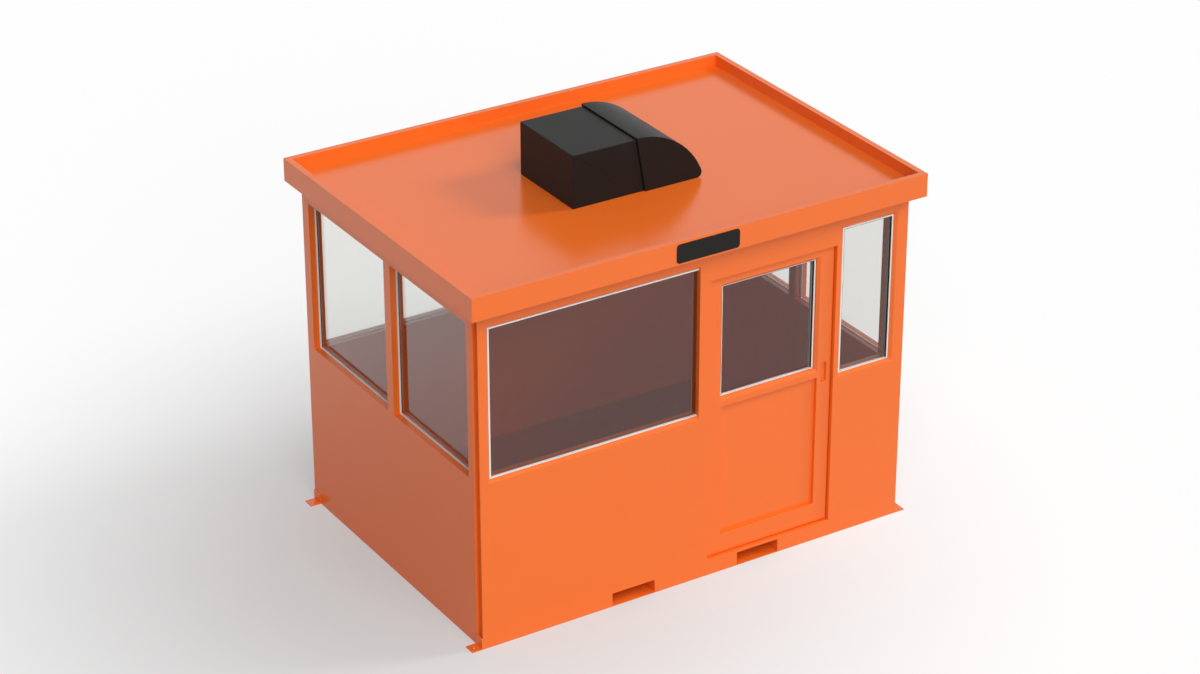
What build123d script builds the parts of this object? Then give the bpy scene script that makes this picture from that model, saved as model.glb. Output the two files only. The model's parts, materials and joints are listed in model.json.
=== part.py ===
"""A steel guard booth: sheet walls on a forkliftable base, a tray roof with a hooded unit, one hung door."""
import os
from build123d import *

os.makedirs("parts", exist_ok=True)

# Cabin: X runs along the front, Y to the back, the origin is on the ground at the centre
cabin_depth = 2100.0
wall = 90.0
overrun = 20.0

# Heights up the walls
sill_height = 1100.0
window_height = 1000.0
header_height = 100.0
lintel_height = 105.0

# Widths along the front wall, from its left corner post to its right one
post_width = 75.0
front_window_width = 1425.0
door_post_width = 80.0
door_width = 900.0
lock_post_width = 50.0
narrow_window_width = 372.0
right_post_width = 98.0

# Posts of the side and back walls
side_post_width = 65.0
back_post_width = 78.0
mullion_width = 75.0

# Corner grooves between the front wall and the flanges of the side walls
groove_depth = 22.0
groove_lip = 5.0
groove_back = 65.0
groove_foot = 60.0
bend_radius = 10.0

# Base with two fork pockets
pocket_width = 300.0
pocket_height = 85.0
pocket_wall = 5.0
pocket_spacing = 900.0
floor_thickness = 15.0

# Anchor feet
foot_reach = 72.0
foot_rise = 70.0
foot_length = 80.0
foot_plate = 6.0
foot_hole = 14.0

# Glazing
window_recess = 41.0
front_window_recess = 18.0
front_sill_raise = 20.0
bead_width = 14.0
sill_bead_height = 9.0
bead_lap = 23.0
side_bead_lap = 10.0
flare_angle = 45.0
glass_thickness = 6.0
stop_width = 6.0
stop_depth = 10.0

# Roof tray
roof_overhang = 75.0
rim_height = 150.0
rim_width = 40.0
rim_skin = 4.0
deck_thickness = 78.0

# Roof unit
unit_width = 600.0
unit_height = 345.0
unit_length_top = 440.0
unit_length_foot = 500.0
unit_back_x = -405.0
unit_centre_y = 0.0
hood_proud = 12.0
hood_reach = 478.0
hood_nose = 35.0
unit_round = 5.0

# Door leaf
door_gap = 8.0
door_recess = 24.0
stile_width = 96.0
lock_side_inset = 15.0
top_rail = 67.0
middle_rail = 61.0
bottom_rail = 127.0
door_window_height = 736.0
panel_recess = 26.0
pull_width = 38.0
pull_height = 129.0
pull_depth = 18.0
pull_round = 6.0
pull_centre_height = 1152.0

# Hinges on the inner face of the wall
hinge_radius = 7.0
hinge_stand_off = 2.0
hinge_length = 120.0
hinge_leaf_width = 48.0
hinge_leaf_thickness = 3.0
hinge_pin_radius = 3.0
hinge_pin_clearance = 0.25
hinge_knuckle_gap = 0.3
hinge_count = 3
hinge_end_distance = 200.0

# Derived places
cabin_length = sum((post_width, front_window_width, door_post_width, door_width, lock_post_width,
                    narrow_window_width, right_post_width))
half_length = cabin_length / 2
half_depth = cabin_depth / 2
front_y = -half_depth
inner_front_y = front_y + wall
flange_y = front_y + groove_back
inner_back_y = half_depth - wall
inner_x = half_length - wall
head_height = sill_height + window_height
front_sill = sill_height + front_sill_raise
front_window_height = head_height - front_sill
wall_height = head_height + header_height
tube_height = pocket_height + 2 * pocket_wall
tube_width = pocket_width + 2 * pocket_wall
floor_top = tube_height + floor_thickness
door_head = head_height - lintel_height
front_window_start = -half_length + post_width
front_window_end = front_window_start + front_window_width
door_start = front_window_end + door_post_width
door_end = door_start + door_width
narrow_window_start = door_end + lock_post_width
narrow_window_end = narrow_window_start + narrow_window_width
front_spans = [(front_window_start, front_window_end, True), (narrow_window_start, narrow_window_end, False)]
roof_length = cabin_length + 2 * roof_overhang
roof_depth = cabin_depth + 2 * roof_overhang
deck_top = wall_height + deck_thickness
sides = {"left": -1, "right": 1}


def save(piece, name):
    """Names a finished piece and writes it."""
    piece.part.label = name
    export_step(piece.part, f"parts/{name}.step")


def block(low, high, mode=Mode.ADD):
    """Adds or cuts the rectangular block between two opposite corners."""
    spans = [b - a for a, b in zip(low, high)]
    with Locations(low):
        Box(*spans, align=(Align.MIN, Align.MIN, Align.MIN), mode=mode)


def wall_block(name, low, high):
    """One plain slab or post of a wall."""
    with BuildPart() as piece:
        block(low, high)
    save(piece, name)


def cut_corner_grooves(bottom, top):
    """Cuts the upright grooves that leave only a thin lip at both ends of the front wall."""
    for side in sides.values():
        xs = sorted((side * (half_length - groove_depth), side * (half_length + overrun)))
        low = (xs[0], front_y + groove_lip, bottom)
        block(low, (xs[1], inner_front_y + overrun, top), mode=Mode.SUBTRACT)


def flare_front_windows():
    """Bevels the wall round the front windows down to their beads, but not along a bare end."""
    for start, end, bare in front_spans:
        low = start - front_window_recess
        high = end if bare else end + front_window_recess
        with BuildSketch(Plane.XZ.offset(-front_y)) as mouth:
            with Locations(((low + high) / 2, (front_sill + head_height) / 2)):
                Rectangle(high - low, front_window_height + 2 * front_window_recess)
        extrude(mouth.sketch, amount=-front_window_recess, taper=flare_angle, mode=Mode.SUBTRACT)


def front_piece(name, start, end, bottom, top, flared=True):
    """A slab or post of the front wall, flared round the windows and grooved where it reaches a corner."""
    with BuildPart() as piece:
        block((start, front_y, bottom), (end, inner_front_y, top))
        if flared:
            flare_front_windows()
        if abs(start) == half_length or abs(end) == half_length:
            cut_corner_grooves(bottom - overrun, top + overrun)
    save(piece, name)


# Base rails: the lowest strip of the front and back walls, open where the fork pockets pass
pocket_centres = [-pocket_spacing / 2, pocket_spacing / 2]
rail_ends = [c + s * tube_width / 2 for c in pocket_centres for s in (-1, 1)]


def base_rails(name, reach, outer_y, inner_y, grooved):
    """Three rails in line, between and beside the fork pockets."""
    cuts = [-reach, *rail_ends, reach]
    with BuildPart() as piece:
        for start, end in zip(cuts[0::2], cuts[1::2]):
            block((start, min(outer_y, inner_y), 0), (end, max(outer_y, inner_y), tube_height))
        if grooved:
            cut_corner_grooves(groove_foot, tube_height + overrun)
    save(piece, name)


base_rails("front_base_rails", half_length, front_y, inner_front_y, True)
base_rails("back_base_rails", inner_x, half_depth, inner_back_y, False)

# Front wall
front_piece("front_panel_left", -half_length, front_window_end, tube_height, front_sill)
front_piece("front_panel_right", narrow_window_start, half_length, tube_height, front_sill)
front_piece("front_post_left", -half_length, front_window_start, front_sill, head_height)
front_piece("front_post_right", narrow_window_end, half_length, front_sill, head_height)
front_piece("front_header", -half_length, half_length, head_height, wall_height)
front_piece("door_post_left", front_window_end, door_start, tube_height, head_height)
front_piece("door_post_right", door_end, narrow_window_start, tube_height, head_height)
front_piece("door_lintel", door_start, door_end, door_head, head_height, False)
front_piece("door_threshold", door_start, door_end, tube_height, floor_top, False)

# Side walls: a lower panel, three posts and a header, each with a round-bent flange behind the corner groove
side_window_front = flange_y + side_post_width
side_window_back = half_depth - back_post_width
post_spans = [(inner_front_y, side_window_front), (-mullion_width / 2, mullion_width / 2),
              (side_window_back, half_depth)]


def bent_flange(side, bottom, top):
    """Adds the flange at the front of a side wall and rounds its outer upright edge."""
    xs = sorted((side * (half_length - groove_depth), side * half_length))
    block((xs[0], flange_y, bottom), (xs[1], inner_front_y, top))
    upright = edges().filter_by(Axis.Z).group_by(Axis.Y)[0].sort_by(Axis.X)
    fillet(upright[0] if side < 0 else upright[-1], bend_radius)


def side_slab(name, side, bottom, top):
    """A slab of a side wall over its whole depth."""
    xs = sorted((side * inner_x, side * half_length))
    with BuildPart() as piece:
        block((xs[0], inner_front_y, bottom), (xs[1], half_depth, top))
        bent_flange(side, max(bottom, groove_foot), top)
    save(piece, name)


def side_posts(name, side):
    """The two end posts and the mullion of a side wall."""
    xs = sorted((side * inner_x, side * half_length))
    with BuildPart() as piece:
        for start, end in post_spans:
            block((xs[0], start, sill_height), (xs[1], end, head_height))
        bent_flange(side, sill_height, head_height)
    save(piece, name)


for word, side in sides.items():
    side_slab(f"{word}_wall_panel", side, 0, sill_height)
    side_posts(f"{word}_wall_posts", side)
    side_slab(f"{word}_wall_header", side, head_height, wall_height)

# Back wall, set between the side walls, its two windows parted by one mullion
wall_block("back_wall_panel", (-inner_x, inner_back_y, tube_height), (inner_x, half_depth, sill_height))
wall_block("back_wall_header", (-inner_x, inner_back_y, head_height), (inner_x, half_depth, wall_height))
wall_block("back_wall_mullion", (-mullion_width / 2, inner_back_y, sill_height),
           (mullion_width / 2, half_depth, head_height))

# Floor and fork pockets
wall_block("floor_plate", (-inner_x, inner_front_y, tube_height), (inner_x, inner_back_y, floor_top))
for word, side in sides.items():
    with BuildPart() as pocket:
        with BuildSketch(Plane.XZ.offset(-half_depth)):
            with Locations((side * pocket_spacing / 2, tube_height / 2)):
                Rectangle(tube_width, tube_height)
                Rectangle(pocket_width, pocket_height, mode=Mode.SUBTRACT)
        extrude(amount=cabin_depth)
    save(pocket, f"fork_pocket_{word}")

# Anchor feet: angles welded to the side walls at the corners, drilled for ground bolts
for word, side in sides.items():
    with BuildPart() as feet:
        for start in (front_y, half_depth - foot_length):
            with BuildSketch(Plane.XZ.offset(-start)):
                with BuildLine():
                    Polyline((side * half_length, 0), (side * (half_length + foot_reach), 0),
                             (side * (half_length + foot_reach), foot_plate),
                             (side * (half_length + foot_plate), foot_plate),
                             (side * (half_length + foot_plate), foot_rise),
                             (side * half_length, foot_rise), close=True)
                make_face()
            extrude(amount=-foot_length)
        hole_x = side * (half_length + (foot_reach + foot_plate) / 2)
        hole_y = half_depth - foot_length / 2
        with Locations((hole_x, -hole_y, foot_plate), (hole_x, hole_y, foot_plate)):
            Hole(foot_hole / 2, depth=foot_plate + overrun)
    save(feet, f"{word}_feet")

# Glazing: each window is a beaded frame set in the reveal, with its pane seated against an inner stop
sill_bead_rise = sill_bead_height - bead_width


def glaze(frame_name, glass_name, face, spans, height, bead_depth):
    """Frames and panes of one wall; face is the plane of the beads, spans are (start, end, bare) along it.

    A bare end has no upright bead: there the pane runs on to the post.
    """
    pane_back = bead_depth + glass_thickness
    with BuildPart() as frame:
        for lap, near in ((bead_width, 0), (bead_width + stop_width, pane_back)):
            with BuildSketch(face.offset(-near)):
                for start, end, bare in spans:
                    inner_start = start + lap
                    inner_end = end if bare else end - lap
                    with Locations(((start + end) / 2, 0)):
                        Rectangle(end - start, height)
                    with Locations(((inner_start + inner_end) / 2, sill_bead_rise / 2)):
                        Rectangle(inner_end - inner_start, height - 2 * lap - sill_bead_rise, mode=Mode.SUBTRACT)
            extrude(amount=near - pane_back - stop_depth)
    save(frame, frame_name)
    with BuildPart() as pane:
        with BuildSketch(face.offset(-bead_depth)):
            for start, end, bare in spans:
                inner_start = start + bead_width
                inner_end = end if bare else end - bead_width
                with Locations(((inner_start + inner_end) / 2, sill_bead_rise / 2)):
                    Rectangle(inner_end - inner_start, height - 2 * bead_width - sill_bead_rise)
        extrude(amount=-glass_thickness)
    save(pane, glass_name)


window_centre = sill_height + window_height / 2
front_face = Plane(origin=(0, front_y + front_window_recess, (front_sill + head_height) / 2), x_dir=(1, 0, 0),
                   z_dir=(0, -1, 0))
glaze("front_window_frames", "front_window_glass", front_face, front_spans, front_window_height, bead_lap)
for word, side in sides.items():
    side_face = Plane(origin=(side * (half_length - window_recess), 0, window_centre), x_dir=(0, side, 0),
                      z_dir=(side, 0, 0))
    side_gaps = [(side_window_front, -mullion_width / 2), (mullion_width / 2, side_window_back)]
    side_spans = [(*sorted((side * a, side * b)), False) for a, b in side_gaps]
    glaze(f"{word}_window_frames", f"{word}_window_glass", side_face, side_spans, window_height,
          side_bead_lap)
back_face = Plane(origin=(0, half_depth - window_recess, window_centre), x_dir=(-1, 0, 0), z_dir=(0, 1, 0))
back_spans = [(-inner_x, -mullion_width / 2, False), (mullion_width / 2, inner_x, False)]
glaze("back_window_frames", "back_window_glass", back_face, back_spans, window_height, side_bead_lap)

# Roof: a flat deck inside a raised rim of folded channel
deck_x = roof_length / 2 - rim_width
deck_y = roof_depth / 2 - rim_width
wall_block("roof_deck", (-deck_x, -deck_y, wall_height), (deck_x, deck_y, deck_top))


def rim(name, low, high):
    """One side of the rim: a channel closed on top and at its ends, open underneath."""
    with BuildPart() as piece:
        block(low, high)
        inside_low = (low[0] + rim_skin, low[1] + rim_skin, low[2] - overrun)
        inside_high = (high[0] - rim_skin, high[1] - rim_skin, high[2] - rim_skin)
        block(inside_low, inside_high, mode=Mode.SUBTRACT)
    save(piece, name)


rim_top = wall_height + rim_height
rim("roof_rim_front", (-roof_length / 2, -roof_depth / 2, wall_height), (roof_length / 2, -deck_y, rim_top))
rim("roof_rim_back", (-roof_length / 2, deck_y, wall_height), (roof_length / 2, roof_depth / 2, rim_top))
rim("roof_rim_left", (-roof_length / 2, -deck_y, wall_height), (-deck_x, deck_y, rim_top))
rim("roof_rim_right", (deck_x, -deck_y, wall_height), (roof_length / 2, deck_y, rim_top))

# Roof unit: a square housing and a bull-nosed hood, joined on a slant, the hood standing proud
unit_top = deck_top + unit_height
joint_top_x = unit_back_x + unit_length_top
joint_foot_x = unit_back_x + unit_length_foot
housing_plane = Plane.XZ.offset(-(unit_centre_y + unit_width / 2))
with BuildPart() as housing:
    with BuildSketch(housing_plane):
        with BuildLine():
            Polyline((unit_back_x, deck_top), (unit_back_x, unit_top), (joint_top_x, unit_top),
                     (joint_foot_x, deck_top), close=True)
        make_face()
    extrude(amount=unit_width)
    fillet(housing.edges().filter_by(Axis.Y).group_by(Axis.X)[0].sort_by(Axis.Z)[-1], unit_round)
save(housing, "roof_unit_housing")

hood_top = unit_top + hood_proud
lean = (joint_foot_x - joint_top_x) / unit_height
hood_top_x = joint_top_x - lean * hood_proud
hood_tip_x = hood_top_x + hood_reach
with BuildPart() as hood:
    with BuildSketch(housing_plane.offset(-hood_proud)):
        with BuildLine():
            Line((joint_foot_x, deck_top), (hood_top_x, hood_top))
            TangentArc((hood_top_x, hood_top), (hood_tip_x, deck_top), tangent=(1, 0))
            Line((hood_tip_x, deck_top), (joint_foot_x, deck_top))
        make_face()
        fillet(vertices().sort_by(Axis.X)[-1], hood_nose)
    extrude(amount=unit_width + 2 * hood_proud)
save(hood, "roof_unit_hood")

# Door leaf: a framed leaf with a window above and a recessed panel below, set back in its opening
leaf_start = door_start + door_gap
leaf_end = door_end - door_gap
leaf_bottom = floor_top + door_gap
leaf_top = door_head - door_gap
leaf_face_y = front_y + door_recess
leaf_thickness = wall - door_recess
leaf_back_y = leaf_face_y + leaf_thickness
door_window_top = leaf_top - top_rail
door_window_sill = door_window_top - door_window_height
panel_top = door_window_sill - middle_rail
panel_bottom = leaf_bottom + bottom_rail
stile_inner = (leaf_start + stile_width, leaf_end - stile_width)
door_window_span = (stile_inner[0], stile_inner[1] - lock_side_inset)
pull_x = leaf_end - stile_width / 2
with BuildPart() as leaf:
    block((leaf_start, leaf_face_y, leaf_bottom), (leaf_end, leaf_back_y, leaf_top))
    block((door_window_span[0], leaf_face_y - overrun, door_window_sill),
          (door_window_span[1], leaf_back_y + overrun, door_window_top), mode=Mode.SUBTRACT)
    block((stile_inner[0], leaf_face_y - overrun, panel_bottom),
          (stile_inner[1], leaf_face_y + panel_recess, panel_top), mode=Mode.SUBTRACT)
    for face_y, inward in ((leaf_face_y, -1), (leaf_back_y, 1)):
        with BuildSketch(Plane.XZ.offset(-face_y)):
            with Locations((pull_x, pull_centre_height)):
                RectangleRounded(pull_width, pull_height, pull_round)
        extrude(amount=inward * pull_depth, mode=Mode.SUBTRACT)
save(leaf, "door_leaf")

door_frame_depth = bead_lap + glass_thickness + stop_depth
door_face = Plane(origin=(0, leaf_back_y - door_frame_depth, (door_window_sill + door_window_top) / 2),
                  x_dir=(1, 0, 0), z_dir=(0, -1, 0))
glaze("door_window_frame", "door_glass", door_face, [(*door_window_span, False)], door_window_height,
      bead_lap)

# Hinges: the outer knuckles and the pin on the post, the middle knuckle on the leaf
hinge_x = (door_start + leaf_start) / 2
hinge_y = leaf_back_y + hinge_stand_off + hinge_radius
hinge_span = leaf_top - leaf_bottom - 2 * hinge_end_distance
hinge_heights = [leaf_bottom + hinge_end_distance + hinge_span * i / (hinge_count - 1) for i in range(hinge_count)]
knuckle = hinge_length / 3


def knuckle_at(bottom, length, radius, mode=Mode.ADD):
    """A round knuckle, pin or bore on the hinge line."""
    with Locations((hinge_x, hinge_y, bottom)):
        Cylinder(radius, length, align=(Align.CENTER, Align.CENTER, Align.MIN), mode=mode)


def hinge_leaf(towards, bottom, length, reach):
    """A flat hinge leaf on the inner faces, from the hinge line out to its reach."""
    xs = sorted((hinge_x, hinge_x + towards * reach))
    block((xs[0], leaf_back_y, bottom), (xs[1], leaf_back_y + hinge_leaf_thickness, bottom + length))


with BuildPart() as post_hinges:
    for centre in hinge_heights:
        foot = centre - hinge_length / 2
        for bottom in (foot, foot + 2 * knuckle):
            hinge_leaf(-1, bottom, knuckle, hinge_leaf_width)
            knuckle_at(bottom, knuckle, hinge_radius)
        block((hinge_x - hinge_leaf_width, leaf_back_y, foot),
              (door_start - door_gap, leaf_back_y + hinge_leaf_thickness, foot + hinge_length))
        knuckle_at(foot, hinge_length, hinge_pin_radius)
save(post_hinges, "door_hinges_post")

with BuildPart() as leaf_hinges:
    for centre in hinge_heights:
        bottom = centre - knuckle / 2 + hinge_knuckle_gap
        length = knuckle - 2 * hinge_knuckle_gap
        hinge_leaf(1, bottom, length, hinge_leaf_width)
        knuckle_at(bottom, length, hinge_radius)
        block((leaf_start + door_gap, leaf_back_y, centre - hinge_length / 2),
              (hinge_x + hinge_leaf_width, leaf_back_y + hinge_leaf_thickness, centre + hinge_length / 2))
        knuckle_at(bottom, length, hinge_pin_radius + hinge_pin_clearance, mode=Mode.SUBTRACT)
save(leaf_hinges, "door_hinges_leaf")
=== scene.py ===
"""Guard booth: sheet walls, beaded glazing, tray roof, roof unit and door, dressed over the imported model."""

import json
import math

import bpy
from bpy.props import FloatProperty, FloatVectorProperty, IntProperty, PointerProperty
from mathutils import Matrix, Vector


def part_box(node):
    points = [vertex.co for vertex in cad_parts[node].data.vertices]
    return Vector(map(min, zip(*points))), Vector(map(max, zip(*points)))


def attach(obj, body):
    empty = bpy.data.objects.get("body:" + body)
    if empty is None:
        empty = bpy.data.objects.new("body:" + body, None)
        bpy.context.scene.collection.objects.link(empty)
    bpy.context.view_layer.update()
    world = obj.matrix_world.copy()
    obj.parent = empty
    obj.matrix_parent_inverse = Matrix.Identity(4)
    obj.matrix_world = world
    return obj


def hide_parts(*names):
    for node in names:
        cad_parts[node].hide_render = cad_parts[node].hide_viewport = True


bl_info = {
    "name": "Guard booth",
    "version": (1, 0, 0),
    "blender": (4, 5, 0),
    "location": "3D View > Sidebar > Guard booth",
    "description": "Dresses the packed guard booth with sheet walls, glazing, roof, door and a studio stage",
    "category": "Object",
}

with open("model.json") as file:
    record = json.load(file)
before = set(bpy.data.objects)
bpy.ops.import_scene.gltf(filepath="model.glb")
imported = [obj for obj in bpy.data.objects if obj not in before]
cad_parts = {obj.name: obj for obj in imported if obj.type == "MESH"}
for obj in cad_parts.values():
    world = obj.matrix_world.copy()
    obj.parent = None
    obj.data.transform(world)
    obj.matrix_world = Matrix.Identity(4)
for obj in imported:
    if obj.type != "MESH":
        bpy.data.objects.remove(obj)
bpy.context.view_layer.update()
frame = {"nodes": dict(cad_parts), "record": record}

FRONT_NODES = (
    "front_base_rails", "front_panel_left", "front_panel_right", "front_post_left", "front_post_right",
    "front_header", "door_post_left", "door_post_right", "door_lintel", "door_threshold",
)
BACK_NODES = ("back_base_rails", "back_wall_panel", "back_wall_header", "back_wall_mullion")
RIM_NODES = ("roof_rim_front", "roof_rim_back", "roof_rim_left", "roof_rim_right")
POCKET_NODES = ("fork_pocket_left", "fork_pocket_right")
SIDES = {"left": -1, "right": 1}
FINISH_PREFIX = "booth_"

# Tolerances of the modelling tools
SAME_LENGTH = 1e-4
MERGE_LENGTH = 1e-5
SHARP_ANGLE = math.radians(40)
FLAT_ANGLE = math.radians(0.5)
FACING = 0.9

# Facets across round forms
FINE_SEGMENTS = 2
CORNER_SEGMENTS = 6
PULL_SEGMENTS = 5
HOLE_SIDES = 24
SCREW_SIDES = 20
RIPPLE_SEGMENTS = 10
RIPPLE_RINGS = 6

# Small forms, as shares of the sizes that they follow
FOOT_EDGE_SHARE = 1 / 6
POCKET_EDGE_SHARE = 1 / 5
GASKET_EDGE_SHARE = 1 / 5
TRIM_EDGE_SHARE = 1 / 4
RIM_EDGE_SHARE = 1 / 2
HOOD_EDGE_SHARE = 1 / 2
WELD_INSET_SHARE = 1 / 3
RIPPLE_STEP_SHARE = 0.7
SCREW_INSET_SHARE = 0.2
SLOT_WIDTH_SHARE = 1 / 6
SLOT_FLOOR_SHARE = 1 / 3

# Optics of the finishes
PAINT_IOR = 1.47
GLASS_IOR = 1.42
COAT_SPECULAR = 0.16
PANE_LIGHT_SHARE = 0.54
GRAIN_HEIGHT = 0.001
FLECK_SCALE = 140.0
FLECK_EDGE = (0.12, 0.30)
FLECK_LIFT = 2.4
WHITE = (1.0, 1.0, 1.0, 1.0)


# Settings that a user may change


def length(name, description, default):
    """A size in metres."""
    return FloatProperty(name=name, description=description, default=default, min=0.0, precision=4,
                         subtype="DISTANCE", unit="LENGTH")


def colour(name, description, default):
    """A linear colour."""
    return FloatVectorProperty(name=name, description=description, default=default, size=3, min=0.0, max=1.0,
                               subtype="COLOR")


def angle(name, description, default):
    """An angle in radians."""
    return FloatProperty(name=name, description=description, default=default, subtype="ANGLE")


def level(name, description, default):
    """A strength of light."""
    return FloatProperty(name=name, description=description, default=default, min=0.0)


def direction(name, description, default):
    """A direction in the shared frame."""
    return FloatVectorProperty(name=name, description=description, default=default, size=3,
                               subtype="DIRECTION")


def point(name, description, default):
    """A place in the shared frame."""
    return FloatVectorProperty(name=name, description=description, default=default, size=3,
                               subtype="XYZ", unit="LENGTH")


class BoothSizes(bpy.types.PropertyGroup):
    """Small sizes of the sheet work, the glazing and the trim."""

    sheet_edge: length("Sheet edge", "Rounding of the folded sheet edges", 0.002)
    leaf_edge: length("Leaf edge", "Rounding of the door leaf's edges", 0.0025)
    groove_depth: length("Groove depth", "Depth of the upright groove behind the front corners", 0.022)
    groove_lip: length("Groove lip", "Sheet in front of the groove", 0.005)
    groove_foot: length("Groove foot", "Height at which the groove starts", 0.06)
    flange_bend: length("Flange bend", "Bend of the side wall's front flange", 0.010)
    pocket_wall: length("Pocket wall", "Wall of the fork pocket tube", 0.005)
    foot_length: length("Foot length", "Length of each angle foot", 0.080)
    foot_plate: length("Foot plate", "Thickness of the angle feet", 0.006)
    foot_hole: length("Foot hole", "Radius of the feet's bolt holes", 0.007)
    weld_size: length("Weld size", "Height of the weld along the feet", 0.004)
    bead_width: length("Bead width", "Face of the glazing bead", 0.010)
    sill_bead: length("Sill bead", "Face of the bead along the sill", 0.0045)
    bead_lap: length("Bead lap", "From the bead's face to the pane, in the front wall and the door", 0.017)
    side_bead_lap: length("Side bead lap", "From the bead's face to the pane, in the other walls", 0.010)
    pane: length("Pane", "Thickness of the glass", 0.006)
    stop_width: length("Stop width", "Width of the stop behind the pane", 0.006)
    bead_edge: length("Bead edge", "Rounding of the beads", 0.0015)
    pane_edge: length("Pane edge", "Ground edge of the glass", 0.0006)
    head_drop: length("Head drop", "How far the wall sheet comes down over the windows' heads", 0.010)
    flare: length("Flare", "Splay of the wall and the leaf round the front windows", 0.018)
    gasket_face: length("Gasket face", "Face of the rubber inside the bead", 0.003)
    gasket_set: length("Gasket set-back", "From the bead's face to the rubber in front", 0.002)
    side_gasket_set: length("Side gasket set-back", "From the bead's face to the rubber elsewhere", 0.007)
    rim_skin: length("Rim skin", "Sheet of the roof rim", 0.004)
    unit_edge: length("Unit edge", "Rounding of the roof unit's edges", 0.006)
    panel_recess: length("Panel recess", "Depth of the door's lower panel", 0.026)
    panel_foot: length("Bottom rail", "Height of the door's bottom rail", 0.127)
    middle_rail: length("Middle rail", "Height of the door's middle rail", 0.061)
    pull_width: length("Pull width", "Width of the flush pull", 0.038)
    pull_height: length("Pull height", "Height of the flush pull", 0.129)
    pull_depth: length("Pull depth", "Depth of the flush pull", 0.018)
    pull_round: length("Pull corner", "Corner radius of the flush pull", 0.006)
    pull_level: length("Pull level", "Height of the middle of the flush pull", 1.152)
    seal_depth: length("Seal depth", "Depth of the door's rubber seal", 0.012)
    leaf_skin: length("Leaf skin", "Sheet wrapped round the leaf's lock side, head and foot", 0.0035)
    seal_reach: length("Seal reach", "How far the seal stands out of the leaf", 0.003)
    sign_width: length("Sign width", "Width of the bare plate on the front rim", 0.438)
    sign_height: length("Sign height", "Height of the bare plate", 0.122)
    sign_thickness: length("Sign thickness", "Thickness of the bare plate", 0.002)
    sign_corner: length("Sign corner", "Corner radius of the bare plate", 0.022)
    hinge_length: length("Hinge length", "Height of a hinge", 0.120)
    hinge_leaf: length("Hinge leaf", "Thickness of a hinge leaf", 0.003)
    screw_radius: length("Screw radius", "Radius of the hinge screws' heads", 0.0045)
    screw_height: length("Screw height", "How far the screw heads stand proud", 0.0012)
    overrun: length("Overrun", "How far a cut runs past the face", 0.050)
    edge_segments: IntProperty(name="Edge segments", description="Facets across a rounded edge",
                               default=3, min=1)


class BoothColours(bpy.types.PropertyGroup):
    """Colours of the finishes."""

    paint: colour("Paint", "Orange paint of the sheet work", (0.88, 0.160, 0.016))
    coat: colour("Coat", "Black coat of the roof unit and the plate", (0.010, 0.0092, 0.0086))
    glass: colour("Glass", "Tint of the panes", (0.90, 0.905, 0.885))
    bead: colour("Bead", "White glazing bead", (0.84, 0.83, 0.81))
    rubber: colour("Rubber", "Gaskets and seal", (0.012, 0.012, 0.013))
    floor_cover: colour("Floor cover", "Cover of the booth's floor", (0.370, 0.090, 0.036))
    steel: colour("Steel", "Hinges and screws", (0.56, 0.55, 0.53))
    ground: colour("Ground", "Studio floor, as it lights the booth", (0.55, 0.55, 0.55))
    ground_seen: colour("Ground seen", "Studio floor, as the camera sees it", (0.36, 0.36, 0.36))


class StageSettings(bpy.types.PropertyGroup):
    """Camera, lamps and studio floor."""

    azimuth: angle("Azimuth", "Camera's turn from the front", -0.56186)
    elevation: angle("Elevation", "Camera's height angle", 0.47461)
    distance: length("Distance", "From the camera to the point it looks at", 20.567)
    target: point("Target", "Point that the camera looks at", (-0.0247, 0.0066, 1.2))
    focal_length: FloatProperty(name="Focal length", description="Lens in millimetres",
                                default=100.367, min=1.0)
    key_direction: direction("Key direction", "Towards the key light, in front", (-0.21, -0.77, 0.62))
    key_strength: level("Key strength", "Level of the key light", 2.32)
    key_softness: angle("Key softness", "Width of the key light", 1.0)
    side_direction: direction("Side direction", "Towards the light on the right", (0.80, -0.25, 0.52))
    side_strength: level("Side strength", "Level of the light on the right", 1.2)
    side_softness: angle("Side softness", "Width of the light on the right", 0.25)
    rear_direction: direction("Rear direction", "Towards the soft light behind", (0.10, 0.50, 0.86))
    rear_strength: level("Rear strength", "Level of the light behind", 0.10)
    rear_softness: angle("Rear softness", "Width of the light behind", 1.2)
    sky_level: level("Sky level", "Level of the light all round", 0.21)
    ground_lift: level("Ground lift", "Lift of the floor towards white, far from the booth", 0.67)
    # Painted shade: the next three settings lower the floor's glow beside the booth, rising to the far lift at
    # the shade's reach.
    painted_shade_lift: level("Near lift", "Lift of the floor beside the booth", 0.28)
    painted_shade_centre: point("Shade centre", "Middle of the floor's soft shade", (-1.2, 0.1, 0.0))
    painted_shade_reach: length("Shade reach", "Radius of the floor's soft shade", 4.2)
    ground_size: length("Ground size", "Half width of the studio floor", 60.0)


# Modelling helpers


def activate(piece):
    """Leaves one object selected and active, in object mode."""
    if bpy.context.object is not None and bpy.context.object.mode != "OBJECT":
        bpy.ops.object.mode_set(mode="OBJECT")
    bpy.ops.object.select_all(action="DESELECT")
    bpy.context.view_layer.objects.active = piece
    if piece is not None:
        piece.select_set(True)


def settle(piece, name):
    """Names a new object and puts its place and size in its mesh."""
    piece.name = piece.data.name = name
    activate(piece)
    bpy.ops.object.transform_apply(location=True, rotation=True, scale=True)
    return piece


def add_block(name, corner, opposite):
    """A block between two opposite corners."""
    low, high = Vector(map(min, corner, opposite)), Vector(map(max, corner, opposite))
    activate(None)
    bpy.ops.mesh.primitive_cube_add(size=1.0, location=(low + high) / 2)
    block = bpy.context.object
    block.scale = high - low
    return settle(block, name)


def carve(piece, cutter):
    """Takes the cutter's shape out of a piece."""
    activate(piece)
    bpy.ops.object.modifier_add(type="BOOLEAN")
    modifier = piece.modifiers[-1]
    modifier.operation = "DIFFERENCE"
    modifier.solver = "EXACT"
    modifier.object = cutter
    bpy.ops.object.modifier_apply(modifier=modifier.name)
    bpy.data.meshes.remove(cutter.data)


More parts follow.
